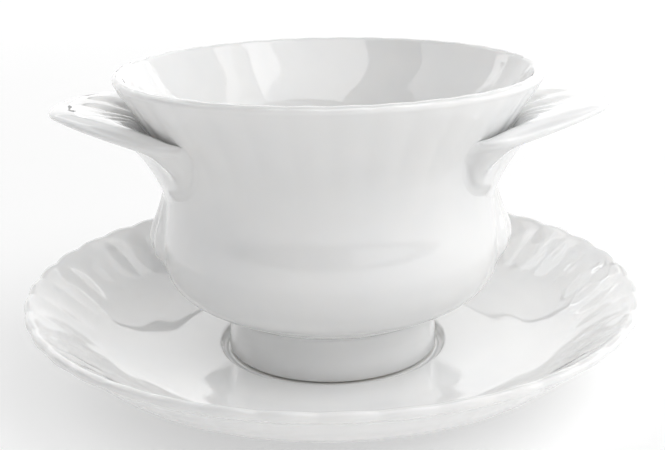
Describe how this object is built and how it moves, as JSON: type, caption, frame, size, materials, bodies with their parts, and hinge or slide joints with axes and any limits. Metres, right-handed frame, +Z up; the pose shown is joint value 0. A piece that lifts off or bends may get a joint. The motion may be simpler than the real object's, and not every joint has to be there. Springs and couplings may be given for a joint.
{
  "type": "soup cup and saucer",
  "caption": "White porcelain soup cup with shell-shaped handles and a pedestal foot, standing loose in a matching fluted saucer.",
  "frame": {"origin": "centre of the saucer's foot ring, on the surface it stands on", "axes": "+Z up along the cup's axis, +X from the axis through the right handle, +Y away from the viewer"},
  "size_m": [0.1708, 0.1708, 0.0844],
  "materials": {
    "white_glaze": "high gloss"
  },
  "bodies": {
    "saucer_body": {"saucer": "white_glaze"},
    "cup_body": {"cup_bowl": "white_glaze", "cup_foot": "white_glaze", "handle_right": "white_glaze", "handle_left": "white_glaze"}
  },
  "joints": [
    {"name": "cup_lift", "type": "slide", "parent": "saucer_body", "child": "cup_body", "axis": [0, 0, 1], "range_m": [0, 0.1]}
  ]
}
